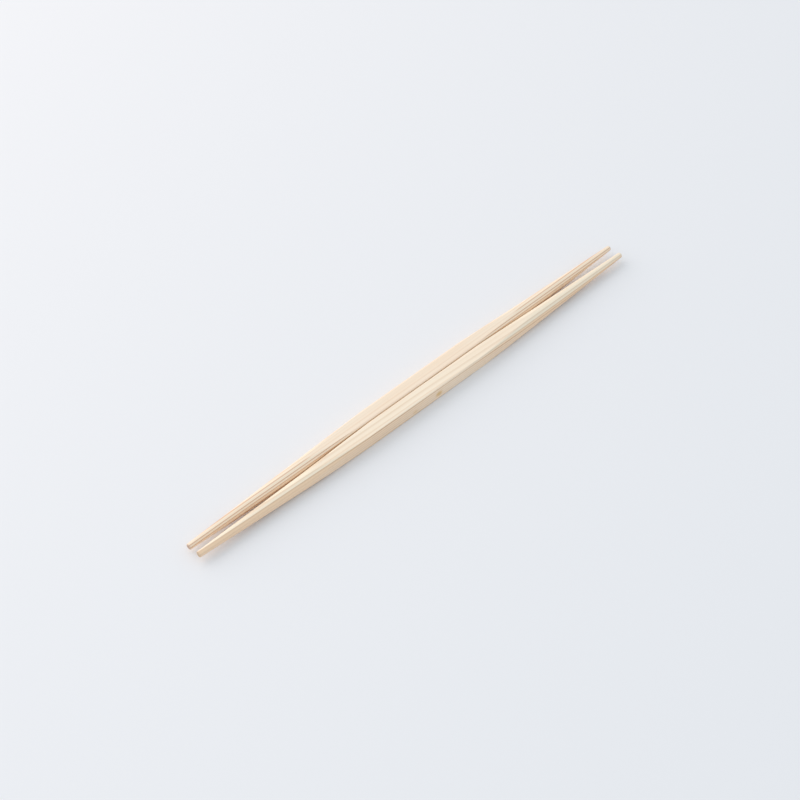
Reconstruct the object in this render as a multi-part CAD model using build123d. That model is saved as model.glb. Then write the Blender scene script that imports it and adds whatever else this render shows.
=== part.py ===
from build123d import *
from build123d.topology import SkipClean
import os

# A pair of cedar chopsticks lying side by side, pointed at both ends.
# X runs along the sticks, Y across the pair, Z up from the surface they lie on.

# One stick, millimetres
stick_length = 240.0
stick_width = 6.3
stick_height = 6.3
edge_chamfer = 0.3

# Turned ends: a long cone from each cut end to where it first touches the flat sides
tip_diameter = 2.6
cone_length = 53.0
end_round = 0.35

# Lie of the pair: clear space between the facing sides
pair_gap = 0.3

half_length = stick_length / 2
tip_radius = tip_diameter / 2
cone_slope = (stick_width / 2 - tip_radius) / cone_length


def squared_bar():
    # The sawn blank: a square bar with its four long edges broken
    section = Rectangle(stick_width, stick_height)
    section = chamfer(section.vertices(), edge_chamfer)
    return extrude(Plane.YZ * section, half_length, both=True)


def turned_envelope():
    # What the lathe leaves: two cones base to base, with softly rounded cut ends.
    # In the middle they stand clear of the bar, so only the ends are cut.
    middle_radius = tip_radius + cone_slope * half_length
    outline = Polyline(
        (-half_length, 0),
        (-half_length, tip_radius),
        (0, middle_radius),
        (half_length, tip_radius),
        (half_length, 0),
        close=True,
    )
    profile = make_face(outline)
    rims = [v for v in profile.vertices() if abs(v.Y - tip_radius) < tip_radius / 2]
    profile = fillet(rims, end_round)
    return revolve(profile, Axis.X)


def chopstick():
    # Each cone runs out over the flat sides in a curved point, as on a sharpened pencil.
    # The round ends and the run-outs stay separate faces, parted where the cone meets the flats.
    stick = squared_bar() & turned_envelope()
    shoulder = half_length - cone_length
    for end in (-1, 1):
        stick = split(stick.solids(), Plane.YZ.offset(end * shoulder), Keep.BOTH)
    with SkipClean():
        return Part() + stick.solids()


stick_offset = (stick_width + pair_gap) / 2
resting_height = stick_height / 2
stick_sides = {"left_chopstick": 1, "right_chopstick": -1}

os.makedirs("parts", exist_ok=True)
for name, side in stick_sides.items():
    stick = Pos(0, side * stick_offset, resting_height) * chopstick()
    export_step(stick, f"parts/{name}.step")
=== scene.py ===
import bpy
import math
import random
import numpy as np
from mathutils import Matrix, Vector


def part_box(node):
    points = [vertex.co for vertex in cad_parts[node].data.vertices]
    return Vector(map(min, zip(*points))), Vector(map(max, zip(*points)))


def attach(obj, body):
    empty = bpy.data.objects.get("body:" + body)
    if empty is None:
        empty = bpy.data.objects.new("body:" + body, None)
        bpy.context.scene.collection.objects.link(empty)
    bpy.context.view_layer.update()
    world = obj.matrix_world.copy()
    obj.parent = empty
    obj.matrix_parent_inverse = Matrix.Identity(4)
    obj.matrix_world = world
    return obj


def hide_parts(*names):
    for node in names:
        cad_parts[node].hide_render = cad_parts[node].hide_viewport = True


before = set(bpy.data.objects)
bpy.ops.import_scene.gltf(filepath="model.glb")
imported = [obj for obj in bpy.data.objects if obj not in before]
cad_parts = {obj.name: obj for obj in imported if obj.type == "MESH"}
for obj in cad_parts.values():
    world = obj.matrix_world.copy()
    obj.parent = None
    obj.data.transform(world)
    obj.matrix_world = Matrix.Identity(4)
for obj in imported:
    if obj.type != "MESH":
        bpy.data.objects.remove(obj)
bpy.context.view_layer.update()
mm = 0.001
print("frame loaded:", ", ".join(sorted(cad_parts)))


# Shader wiring

class Wire:
    # one shader socket: sums and products of wires add their own Math nodes
    def __init__(self, tree, socket=None):
        self.tree = tree
        self.socket = socket

    def add(self, kind, settings=None, sockets=None, out=0):
        node = self.tree.nodes.new("ShaderNode" + kind)
        for name, value in (settings or {}).items():
            setattr(node, name, value)
        for name, value in (sockets or {}).items():
            self.feed(node.inputs[name], value)
        return Wire(self.tree, node.outputs[out] if node.outputs else None)

    def feed(self, entry, value):
        if isinstance(value, Wire):
            self.tree.links.new(value.socket, entry)
        else:
            entry.default_value = value

    def math(self, operation, first, second=0.0):
        return self.add("Math", {"operation": operation}, {0: first, 1: second})

    def __add__(self, other):
        return self.math("ADD", self, other)

    def __sub__(self, other):
        return self.math("SUBTRACT", self, other)

    def __rsub__(self, other):
        return self.math("SUBTRACT", other, self)

    def __mul__(self, other):
        return self.math("MULTIPLY", self, other)

    __radd__ = __add__
    __rmul__ = __mul__


def paint(red, green, blue):
    # screen colour, 0 to 255, as the linear colour a shader takes
    parts = []
    for level in (red, green, blue):
        share = level / 255
        parts.append(share / 12.92 if share <= 0.04045 else ((share + 0.055) / 1.055) ** 2.4)
    return (*parts, 1.0)


def ease(wire, low, high):
    span = {"Value": wire, "From Min": low, "From Max": high}
    return wire.add("MapRange", {"interpolation_type": "SMOOTHSTEP"}, span)


def tint(factor, under, over, how="MIX"):
    settings = {"data_type": "RGBA", "blend_type": how}
    return factor.add("Mix", settings, {0: factor, 6: under, 7: over}, out=2)


def grainNoise(place, along, across, detail):
    # noise drawn out along the stick: how many cells per millimetre along and across the grain
    scale = (along / mm, across / mm, across / mm)
    spot = place.add("VectorMath", {"operation": "MULTIPLY"}, {0: place, 1: scale})
    return spot.add("TexNoise", None, {"Vector": spot, "Scale": 1.0, "Detail": detail})


# Sizes read from the frame

measureSpec = {
    "endZone": 1.0 * mm,        # the rim of a cut end lies this close to it
    "flatMargin": 0.002 * mm,
}


def measureStick(nodeName, spec):
    low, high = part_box(nodeName)
    centre = (low + high) / 2
    half = (high - low) / 2
    points = np.array([v.co[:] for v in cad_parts[nodeName].data.vertices]) - np.array(centre)
    radius = np.hypot(points[:, 1], points[:, 2])
    reach = np.abs(points[:, 0])
    tip = np.where(reach > half.x - spec["endZone"])[0]
    rim = tip[radius[tip].argmax()]
    onTop = points[:, 2] > half.z - spec["flatMargin"]
    flat = np.abs(points[onTop, 1]).max()
    shoulder = reach[onTop].max()
    slope = (half.z - radius[rim]) / (reach[rim] - shoulder)
    return {
        "centre": centre,
        "half": half,
        "flat": flat,
        "rimReach": reach[rim],
        "rimRadius": radius[rim],
        "endRound": half.x - reach[rim],
        "slope": slope,
        "shoulder": shoulder,                                               # the cone meets the flats
        "cutStart": shoulder - (math.hypot(half.y, flat) - half.z) / slope,  # and first the corners
    }


# Stick meshes

meshSpec = {
    "straightStep": 1.2 * mm,
    "turnedStep": 0.7 * mm,
    "tipStep": 0.3 * mm,
    "tipZone": 3.0 * mm,
    "flatParts": 34,
    "chamferParts": 6,
    "crowding": 0.7,            # draws points towards the edges of each flat
    "roundParts": 6,
    "endRings": 9,
    "rimGrain": 0.5,            # share of cut end grain on the rounded rim
    "edgeSoftness": 0.02 * mm,
    "softSweeps": 6,
    "softLimit": 5,
    "leastFacing": 0.2,
    "turnedFade": 0.1 * mm,
    "coreRadius": 0.3 * mm,
}


def wander(along, seed, waves, size):
    # slow seeded drift along the stick, about plus or minus size
    draw = random.Random(seed)
    total = np.zeros_like(along)
    for wave in waves:
        total += np.sin(along / wave * 2 * math.pi + draw.uniform(0, 2 * math.pi))
    return size * total / len(waves)


def smoothShare(values, low, high):
    share = np.clip((values - low) / (high - low), 0, 1)
    return share * share * (3 - 2 * share)


def perEnd(along, ends):
    # a number or a (y, z) pair for every point, taken from the end of the stick it belongs to
    return np.where(along[:, None] < 0, np.array(ends["left"]), np.array(ends["right"]))


def sectionAngles(size, spec):
    half, flat = size["half"], size["flat"]
    corners = []
    for quarter in range(4):
        turn = quarter * math.pi / 2
        for across in (-flat, flat):
            y = half.y * math.cos(turn) - across * math.sin(turn)
            z = half.y * math.sin(turn) + across * math.cos(turn)
            corners.append((y, z))
    angles = []
    for index, start in enumerate(corners):
        end = corners[(index + 1) % len(corners)]
        parts = spec["flatParts"] if index % 2 == 0 else spec["chamferParts"]
        for step in range(parts):
            share = step / parts
            share -= spec["crowding"] * math.sin(2 * math.pi * share) / (2 * math.pi)
            y = start[0] + (end[0] - start[0]) * share
            z = start[1] + (end[1] - start[1]) * share
            angles.append(math.atan2(z, y))
    return np.array(angles)


def stationsAlong(size, spec):
    # from one rim to the other, closer together where the cones cut the bar
    rim = size["rimReach"]
    turned = size["cutStart"]
    tip = rim - spec["tipZone"]
    middle = np.linspace(0, turned, round(turned / spec["straightStep"]), endpoint=False)
    cone = np.linspace(turned, tip, round((tip - turned) / spec["turnedStep"]), endpoint=False)
    end = np.linspace(tip, rim, round(spec["tipZone"] / spec["tipStep"]) + 1)
    out = np.concatenate([middle, cone, end])
    return np.concatenate([-out[:0:-1], out])


def turnedRadius(along, size, look):
    # the plain cone, less what each end is slimmer by
    inward = size["rimReach"] - np.abs(along)
    share = np.clip(inward / (size["rimReach"] - size["shoulder"]), 0, 1)
    trim = look["coneTrim"] * share + perEnd(along, look["tipTrim"])[:, 0] * (1 - share)
    return size["rimRadius"] + size["slope"] * inward - trim


def turnedAxis(along, size, look):
    # middle of the turning at each station, a little askew from the shoulder to the tip
    share = np.clip((np.abs(along) - size["shoulder"]) / (size["half"].x - size["shoulder"]), 0, 1)
    share = share[:, None]
    return perEnd(along, look["shoulderShift"]) * (1 - share) + perEnd(along, look["tipShift"]) * share


def barPlanes(along, size, look):
    # direction and distance of the four planed faces and the four broken edges
    half = size["half"]
    edgeReach = (half.y + size["flat"]) / math.sqrt(2)
    planes = []
    for quarter in range(4):
        turn = quarter * math.pi / 2
        uneven = wander(along, look["seed"] + quarter, look["edgeWaves"], look["edgeWander"])
        planes.append((turn, np.full_like(along, half.y if quarter % 2 == 0 else half.z)))
        planes.append((turn + math.pi / 4, edgeReach + uneven))
    # a shallow plane stroke along the back edge of the top
    turn = math.radians(90 - look["strokeTilt"])
    reach = (half.y - look["strokeWidth"]) * math.cos(turn) + half.z * math.sin(turn)
    uneven = wander(along, look["strokeSeed"], look["edgeWaves"], look["strokeWander"])
    planes.append((turn, reach + uneven))
    return planes


def stickSections(along, angles, size, spec, look):
    # at every station, how far out each angle goes before it meets the bar or the off-centre cone
    softness = spec["edgeSoftness"]
    cone = turnedRadius(along, size, look)[:, None]
    axis = turnedAxis(along, size, look)
    settle = smoothShare(np.abs(along), size["cutStart"], size["shoulder"])
    middle = axis * settle[:, None]
    rayY, rayZ = np.cos(angles), np.sin(angles)
    offY, offZ = (middle - axis)[:, 0:1], (middle - axis)[:, 1:2]
    inward = offY * rayY + offZ * rayZ
    radius = np.sqrt(cone ** 2 - offY ** 2 - offZ ** 2 + inward ** 2) - inward
    planes = []
    for turn, distance in barPlanes(along, size, look):
        facing = np.cos(angles - turn)[None, :]
        clear = distance - middle[:, 0] * math.cos(turn) - middle[:, 1] * math.sin(turn)
        planes.append((facing, clear[:, None]))
        met = clear[:, None] / np.maximum(facing, spec["leastFacing"])
        radius = np.minimum(radius, np.where(facing > spec["leastFacing"], met, np.inf))
    # a soft maximum of all the faces rounds every edge by about the softness
    for sweep in range(spec["softSweeps"]):
        fromY, fromZ = offY + radius * rayY, offZ + radius * rayZ
        spread = np.hypot(fromY, fromZ)
        total = np.exp((spread - cone) / softness)
        slope = total * (fromY * rayY + fromZ * rayZ) / spread
        for facing, clear in planes:
            part = np.exp(np.minimum((radius * facing - clear) / softness, spec["softLimit"]))
            total += part
            slope += part * facing
        radius = radius - softness * np.log(total) * total / slope
    turned = 1 - np.clip((cone - spread) / spec["turnedFade"], 0, 1)
    return radius, middle, turned


def growthRings(points, look):
    # which yearly ring each point of the wood lies in, with its place in that ring as the fraction,
    # and how much of the heartwood's colour it has
    turn = math.radians(look["ringTurn"])
    outward = points[:, 1] * math.cos(turn) + points[:, 2] * math.sin(turn)
    beside = points[:, 2] * math.cos(turn) - points[:, 1] * math.sin(turn)
    fromPale = (points[:, 0] - look["paleAt"]) / look["paleReach"]
    heart = 1 - smoothShare(outward + look["heartSlope"] * points[:, 0], *look["heartEdge"])
    heart *= 1 - look["corePale"] * (1 - smoothShare(outward, *look["coreEdge"]))
    heart *= 1 - look["paleDepth"] * np.exp(-fromPale ** 2)
    outward = outward + perEnd(points[:, 0], look["grainSlope"])[:, 0] * points[:, 0]
    outward += wander(points[:, 0], look["ringSeed"], look["ringWaves"], look["ringWander"])
    depth = np.hypot(outward + look["pith"], beside) - look["pith"]
    count = depth / look["ringWidth"] + look["ringStart"]
    return count + look["ringUneven"] * np.sin(count * look["unevenRate"] + look["seed"]), heart


def raiseGrain(points, ringCount, endFace, spec, look):
    # the soft early wood of each ring lies a hair below its late wood
    sunk = 0.5 - 0.5 * np.cos(2 * math.pi * ringCount)
    spread = np.maximum(np.hypot(points[:, 1], points[:, 2]), spec["coreRadius"])
    points[:, 1:] *= (1 - look["relief"] * sunk * (1 - endFace) / spread)[:, None]
    points[:, 0] -= np.sign(points[:, 0]) * look["endRelief"] * sunk * endFace


def endRings(size, spec):
    # reach, radius and share of cut end grain for the rounded rim and the flat end
    inner = size["rimRadius"] - size["endRound"]
    rings = []
    for bend in np.linspace(0, math.pi / 2, spec["roundParts"] + 1)[1:-1]:
        reach = size["rimReach"] + size["endRound"] * math.sin(bend)
        rings.append((reach, inner + size["endRound"] * math.cos(bend), spec["rimGrain"]))
    for share in np.linspace(1, 0, spec["endRings"] + 1)[:-1]:
        rings.append((size["half"].x, inner * share, 1.0))
    return np.array(rings)


def stickFaces(rows, around):
    # a tube of quads, row by row, closed at each end by a fan round one last point
    faces = []
    for i in range(rows - 1):
        for j in range(around):
            k = (j + 1) % around
            faces.append((i * around + j, i * around + k, (i + 1) * around + k, (i + 1) * around + j))
    leftPoint, rightPoint = rows * around, rows * around + 1
    lastRow = (rows - 1) * around
    for j in range(around):
        k = (j + 1) % around
        faces.append((leftPoint, k, j))
        faces.append((rightPoint, lastRow + j, lastRow + k))
    return faces


def stickMesh(pieceName, size, spec, look):
    half = size["half"]
    angles = sectionAngles(size, spec)
    along = stationsAlong(size, spec)
    rings = endRings(size, spec)
    radius, middle, turned = stickSections(along, angles, size, spec, look)
    # rows run from the middle of the left end face to the middle of the right one
    ones = np.ones(len(angles))
    allTurned = np.ones((len(rings), len(angles)))
    leftScale, rightScale = turnedRadius(along[[0, -1]], size, look) / size["rimRadius"]
    leftEnd = np.outer(rings[::-1, 1] * leftScale, ones)
    rightEnd = np.outer(rings[:, 1] * rightScale, ones)
    leftMiddle = middle[:1].repeat(len(rings), 0)
    rightMiddle = middle[-1:].repeat(len(rings), 0)
    reach = np.concatenate([-rings[::-1, 0], along, rings[:, 0]])
    radius = np.concatenate([leftEnd, radius, rightEnd])
    turned = np.concatenate([allTurned, turned, allTurned])
    cut = np.concatenate([rings[::-1, 2], np.zeros(len(along)), rings[:, 2]])
    middle = np.concatenate([leftMiddle, middle, rightMiddle])
    y = middle[:, 0:1] + radius * np.cos(angles)
    z = middle[:, 1:2] + radius * np.sin(angles)
    points = np.stack([np.outer(reach, ones), y, z], -1).reshape(-1, 3)
    ends = [(-half.x, *middle[0]), (half.x, *middle[-1])]
    points = np.concatenate([points, np.array(ends)])
    turned = np.concatenate([turned.ravel(), [1.0, 1.0]])
    endFace = np.concatenate([np.outer(cut, ones).ravel(), [1.0, 1.0]])
    ringCount, heart = growthRings(points, look)
    raiseGrain(points, ringCount, endFace, spec, look)
    # the slight warp of a thin dry stick, and its place in the frame
    bend = (points[:, 0:1] / half.x) ** 2
    points[:, 1:] += bend * perEnd(points[:, 0], look["warp"])
    points += np.array(size["centre"])
    mesh = bpy.data.meshes.new(pieceName)
    mesh.from_pydata(points.tolist(), [], stickFaces(len(reach), len(angles)))
    marks = {"growthRing": ringCount, "heartwood": heart, "turned": turned, "endFace": endFace}
    for name, values in marks.items():
        held = mesh.attributes.new(name, "FLOAT", "POINT")
        held.data.foreach_set("value", values.astype(np.float32))
    mesh.shade_smooth()
    mesh.update()
    stick = bpy.data.objects.new(pieceName, mesh)
    bpy.context.scene.collection.objects.link(stick)
    print(pieceName, "made:", len(mesh.vertices), "points,", len(mesh.polygons), "faces")
    return stick


# Cedar finish

def cedarFinish(name, size, look):
    material = bpy.data.materials.new(name)
    material.use_nodes = True
    tree = material.node_tree
    shader = tree.nodes["Principled BSDF"]
    wire = Wire(tree)
    place = wire.add("TexCoord", None, None, out="Object")
    rings = wire.add("Attribute", {"attribute_name": "growthRing"}, None, out="Fac")
    heart = wire.add("Attribute", {"attribute_name": "heartwood"}, None, out="Fac")
    turned = wire.add("Attribute", {"attribute_name": "turned"}, None, out="Fac")
    endFace = wire.add("Attribute", {"attribute_name": "endFace"}, None, out="Fac")

    # yearly rings: pale early wood deepening into a thin late line, each year of its own strength
    part = wire.math("FRACT", rings)
    year = wire.math("FLOOR", rings) + look["yearSeed"]
    yearly = year.add("TexWhiteNoise", {"noise_dimensions": "1D"}, {"W": year}, out="Value")
    strength = look["weakestYear"] + (1 - look["weakestYear"]) * yearly
    late = ease(part, *look["lateRise"]) * (1 - ease(part, *look["lateFall"])) * strength

    # fibres, broad tone drift and short dark dashes, all drawn out along the stick
    fibre = grainNoise(place, *look["fibreGrain"])
    streak = grainNoise(place, *look["streakGrain"])
    drift = grainNoise(place, *look["driftGrain"])
    fuzz = grainNoise(place, *look["fuzzGrain"])
    dash = ease(grainNoise(place, *look["dashGrain"]), *look["dashEdge"])

    colour = tint(ease(drift, *look["driftEdge"]), paint(*look["early"]), paint(*look["earlyWarm"]))
    colour = tint(ease(streak, *look["streakEdge"]) * look["streakDepth"], colour, paint(*look["streak"]))
    colour = tint(turned * look["turnedDepth"], colour, paint(*look["turned"]))
    heartDepth = look["heartDepth"] + turned * (look["turnedHeartDepth"] - look["heartDepth"])
    colour = tint(heart * heartDepth, colour, paint(*look["heart"]))
    lateDepth = look["lateDepth"] + turned * (look["turnedLateDepth"] - look["lateDepth"])
    lateDepth = lateDepth + heart * (1 - look["turnedFade"] * turned) * look["heartLateDepth"]
    colour = tint(late * lateDepth, colour, paint(*look["late"]))
    colour = tint(fibre * look["fibreDepth"], colour, paint(*look["fibre"]), "MULTIPLY")
    colour = tint(dash * look["dashDepth"], colour, paint(*look["dash"]))
    colour = tint(endFace * look["endDepth"], colour, paint(*look["endGrain"]))
    # painted shade: the facing sides are darkened within a fraction of a millimetre of the narrow gap
    # between the two sticks
    across = wire.math("ABSOLUTE", place.add("SeparateXYZ", None, {"Vector": place}, out="Y"))
    inner = (1 - ease(across, *look["gapShadeReach"])) * look["gapShadeDepth"]
    colour = tint(inner, colour, paint(*look["inner"]))
    # small stains of pitch on the front side
    front = size["centre"].y - size["half"].y
    for fleck in look["pitchFlecks"]:
        spot = (fleck["along"], front, fleck["height"])
        gap = place.add("VectorMath", {"operation": "SUBTRACT"}, {0: place, 1: spot})
        sized = gap.add("VectorMath", {"operation": "DIVIDE"}, {0: gap, 1: fleck["size"]})
        away = sized.add("VectorMath", {"operation": "LENGTH"}, {0: sized}, out="Value")
        stain = (1 - ease(away, *look["pitchEdge"])) * fleck["depth"]
        colour = tint(stain, colour, paint(*look["pitch"]))
    wire.feed(shader.inputs["Base Color"], colour)

    rough = look["roughness"] - look["lateSmooth"] * late
    rough = rough + look["fibreRough"] * fibre + look["endRough"] * endFace
    wire.feed(shader.inputs["Roughness"], rough)
    shader.inputs["Specular IOR Level"].default_value = look["gloss"]

    height = fibre * look["fibreHeight"] + fuzz * look["fuzzHeight"]
    height = height + late * look["lateHeight"] - dash * look["dashDip"]
    relief = {"Strength": look["bump"], "Distance": look["bumpDepth"], "Height": height}
    wire.feed(shader.inputs["Normal"], wire.add("Bump", None, relief))
    return material


# The two sticks

# what both have alike
cedarStick = {
    "coneTrim": 0.12 * mm,
    "edgeWander": 0.04 * mm,
    "unevenRate": 2.3,
    "relief": 0.015 * mm,
    "endRelief": 0.04 * mm,
    # noise cells per millimetre along and across the grain, and detail
    "fibreGrain": (0.05, 4.0, 4.0),
    "streakGrain": (0.012, 1.3, 2.0),
    "driftGrain": (0.02, 0.12, 2.0),
    "fuzzGrain": (0.5, 11.0, 2.0),
    "dashGrain": (0.35, 7.0, 2.0),
    "driftEdge": (0.3, 0.7),
    "streakEdge": (0.35, 0.75),
    "dashEdge": (0.66, 0.78),
    "lateFall": (0.93, 1.0),
    "weakestYear": 0.2,
    "streakDepth": 0.35,
    "turnedDepth": 0.6,
    "turnedFade": 0.8,          # how far the heart's late lines fade on the cones
    "fibreDepth": 0.5,
    "dashDepth": 0.25,
    "endDepth": 0.9,
    # painted shade in the gap between the sticks: how far from the gap it reaches, and how strong it is
    "gapShadeReach": (0.2 * mm, 0.6 * mm),
    "gapShadeDepth": 0.17,
    "pitch": (222, 180, 116),
    "pitchEdge": (0.2, 1.0),
    "roughness": 0.55,
    "lateSmooth": 0.08,
    "fibreRough": 0.1,
    "endRough": 0.15,
    "gloss": 0.4,
    "bump": 0.4,
    "bumpDepth": 0.02 * mm,
    "fibreHeight": 0.6,
    "fuzzHeight": 0.4,
    "lateHeight": 0.3,
    "dashDip": 0.8,
}

farStick = {
    **cedarStick,
    "node": "left_chopstick",
    "piece": "left_cedar_stick",
    "slot": "cedar_rosy",
    "seed": 21,
    # sideways and up: bend of the stick at its tips, then how far off centre the cones are turned
    "warp": {"left": (0.0, 0.0), "right": (0.0, 0.15 * mm)},
    "tipShift": {"left": (-0.3 * mm, -0.15 * mm), "right": (0.0, 0.1 * mm)},
    "shoulderShift": {"left": (-0.25 * mm, -0.05 * mm), "right": (-0.2 * mm, -0.05 * mm)},
    "tipTrim": {"left": 0.0, "right": 0.2 * mm},
    "edgeWaves": (31 * mm, 57 * mm, 113 * mm),
    "strokeSeed": 28,
    "strokeTilt": 20,
    "strokeWidth": 0.85 * mm,
    "strokeWander": 0.03 * mm,
    "ringTurn": 36,             # degrees from level to the bark side
    "ringWidth": 1.15 * mm,
    "ringStart": 40.75,
    "ringUneven": 0.1,
    "ringSeed": 32,
    "ringWaves": (70 * mm, 150 * mm, 260 * mm),
    "ringWander": 0.1 * mm,
    "yearSeed": 112,
    "pith": 55 * mm,
    "grainSlope": {"left": 0.0, "right": 0.0},
    # heartwood: where it turns pale towards the bark and the core, then a paler stretch along it
    "heartEdge": (-1.2 * mm, -0.4 * mm),
    "heartSlope": 0.0,
    "coreEdge": (-3.0 * mm, -1.0 * mm),
    "corePale": 0.4,
    "paleAt": 80 * mm,
    "paleReach": 30 * mm,
    "paleDepth": 0.4,
    "heart": (255, 213, 166),
    "heartDepth": 0.5,
    "turnedHeartDepth": 0.3,
    "heartLateDepth": 0.1,
    "early": (250, 235, 216),
    "earlyWarm": (250, 231, 209),
    "streak": (252, 226, 199),
    "lateRise": (0.5, 0.86),
    "late": (200, 138, 96),
    "lateDepth": 0.16,
    "turnedLateDepth": 0.75,
    "turned": (252, 236, 213),
    "fibre": (250, 240, 229),
    "dash": (196, 150, 108),
    "endGrain": (190, 160, 142),
    # colour of the painted shade on the side facing the gap
    "inner": (196, 152, 114),
    "pitchFlecks": [],
}

nearStick = {
    **cedarStick,
    "node": "right_chopstick",
    "piece": "right_cedar_stick",
    "slot": "cedar_pale",
    "seed": 47,
    "warp": {"left": (0.0, 0.25 * mm), "right": (0.0, 0.2 * mm)},
    "tipShift": {"left": (0.4 * mm, 0.35 * mm), "right": (0.2 * mm, 0.15 * mm)},
    "shoulderShift": {"left": (-0.12 * mm, 0.0), "right": (0.05 * mm, 0.0)},
    "tipTrim": {"left": 0.0, "right": 0.1 * mm},
    "edgeWaves": (29 * mm, 61 * mm, 127 * mm),
    "strokeSeed": 54,
    "strokeTilt": 15,
    "strokeWidth": 0.8 * mm,
    "strokeWander": 0.05 * mm,
    "ringTurn": 58,
    "ringWidth": 1.1 * mm,
    "ringStart": 52.279,
    "ringUneven": 0.05,
    "ringSeed": 58,
    "ringWaves": (80 * mm, 140 * mm, 300 * mm),
    "ringWander": 0.06 * mm,
    "yearSeed": 1250,
    "pith": 70 * mm,
    "grainSlope": {"left": 0.0088, "right": 0.0185},
    "heartEdge": (0.45 * mm, 1.15 * mm),
    "heartSlope": 0.006,
    "coreEdge": (-2.2 * mm, -0.4 * mm),
    "corePale": 0.1,
    "paleAt": 15 * mm,
    "paleReach": 18 * mm,
    "paleDepth": 0.5,
    "heart": (246, 208, 171),
    "heartDepth": 0.55,
    "turnedHeartDepth": 0.72,
    "heartLateDepth": 0.6,
    "early": (252, 240, 221),
    "earlyWarm": (252, 235, 214),
    "streak": (252, 229, 202),
    "lateRise": (0.35, 0.85),
    "late": (198, 150, 106),
    "lateDepth": 0.28,
    "turnedLateDepth": 0.45,
    "turned": (253, 241, 219),
    "fibre": (250, 241, 231),
    "dash": (196, 158, 115),
    "endGrain": (198, 174, 146),
    # colour of the painted shade on the side facing the gap
    "inner": (200, 160, 120),
    "pitchFlecks": [
        {
            "along": 4.35 * mm,
            "height": 2.8 * mm,
            "size": (2.8 * mm, 1.8 * mm, 1.8 * mm),
            "depth": 0.8,
        },
        {
            "along": -9.2 * mm,
            "height": 2.0 * mm,
            "size": (2.2 * mm, 1.4 * mm, 1.4 * mm),
            "depth": 0.35,
        },
    ],
}

for look in (farStick, nearStick):
    size = measureStick(look["node"], measureSpec)
    stick = stickMesh(look["piece"], size, meshSpec, look)
    stick.data.materials.append(cedarFinish(look["slot"], size, look))
    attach(stick, "root")
    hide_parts(look["node"])
print("sticks in place")


# Floor, light and camera

floorSpec = {
    "side": 8.0,
    "colour": (239, 239, 242),
    "roughness": 0.9,
}

skySpec = {
    "share": 0.74,
    "colour": (0.93, 1.022, 1.08, 1.0),
    "backdrop": (240, 241, 244),
}

# soft panels: share of the floor's light, colour, side, distance and where each shines from
softPanels = {
    "backPanel": {
        "share": 0.28,
        "colour": (1.19, 0.95, 0.8),
        "side": 1.9,
        "distance": 1.4,
        "from": (-0.22, 0.84, 0.5),
    },
    "leftPanel": {
        "share": 0.09,
        "colour": (1.0, 1.0, 1.0),
        "side": 1.9,
        "distance": 1.4,
        "from": (-0.75, 0.43, 0.5),
    },
}

cameraSpec = {
    "azimuth": -44.13,
    "elevation": 46.96,
    "distance": 735.5 * mm,
    "aim": (-7.8 * mm, 3.95 * mm, 0.0),
    "lens": 81.0,
    "sensor": 36.0,
    "clip": (10 * mm, 100.0),
}


def layFloor(spec):
    side = spec["side"] / 2
    corners = [(-side, -side, 0), (side, -side, 0), (side, side, 0), (-side, side, 0)]
    mesh = bpy.data.meshes.new("floor")
    mesh.from_pydata(corners, [], [(0, 1, 2, 3)])
    floor = bpy.data.objects.new("floor", mesh)
    bpy.context.scene.collection.objects.link(floor)
    material = bpy.data.materials.new("paleFloor")
    material.use_nodes = True
    shader = material.node_tree.nodes["Principled BSDF"]
    shader.inputs["Base Color"].default_value = paint(*spec["colour"])
    shader.inputs["Roughness"].default_value = spec["roughness"]
    shader.inputs["Specular IOR Level"].default_value = 0.0
    mesh.materials.append(material)


def hangSky(spec):
    world = bpy.data.worlds.new("softSky")
    bpy.context.scene.world = world
    world.use_nodes = True
    tree = world.node_tree
    tree.nodes.clear()
    wire = Wire(tree)
    sky = wire.add("Background", None, {"Color": spec["colour"], "Strength": spec["share"]})
    seen = wire.add("Background", None, {"Color": paint(*spec["backdrop"]), "Strength": 1.0})
    direct = wire.add("LightPath", None, None, out="Is Camera Ray")
    path = direct.socket.node
    mirrored = Wire(tree, path.outputs["Is Glossy Ray"])
    through = Wire(tree, path.outputs["Is Transmission Ray"])
    shown = wire.math("MAXIMUM", direct, wire.math("MAXIMUM", mirrored, through))
    both = wire.add("MixShader", None, {0: shown, 1: sky, 2: seen})
    wire.add("OutputWorld", None, {"Surface": both})


def hangPanel(name, spec):
    lamp = bpy.data.lights.new(name, "AREA")
    lamp.shape = "SQUARE"
    lamp.size = spec["side"]
    lamp.color = spec["colour"]
    towards = Vector(spec["from"]).normalized()
    # about the power at which a small panel gives the floor its share of the light
    lamp.energy = spec["share"] * math.pi ** 2 * spec["distance"] ** 2 / towards.z
    panel = bpy.data.objects.new(name, lamp)
    panel.location = towards * spec["distance"]
    panel.rotation_euler = towards.to_track_quat("Z", "Y").to_euler()
    bpy.context.scene.collection.objects.link(panel)


def setCamera(spec):
    turn = math.radians(spec["azimuth"])
    rise = math.radians(spec["elevation"])
    level = math.cos(rise)
    back = Vector((math.sin(turn) * level, -math.cos(turn) * level, math.sin(rise)))
    lens = bpy.data.cameras.new("photoCamera")
    lens.sensor_width = spec["sensor"]
    lens.lens = spec["lens"]
    lens.clip_start, lens.clip_end = spec["clip"]
    camera = bpy.data.objects.new("photoCamera", lens)
    camera.location = Vector(spec["aim"]) + back * spec["distance"]
    camera.rotation_euler = back.to_track_quat("Z", "Y").to_euler()
    bpy.context.scene.collection.objects.link(camera)
    bpy.context.scene.camera = camera


layFloor(floorSpec)
hangSky(skySpec)
for name, spec in softPanels.items():
    hangPanel(name, spec)
print("floor and light set")
setCamera(cameraSpec)
bpy.context.scene.view_settings.view_transform = "Standard"
print("camera set")
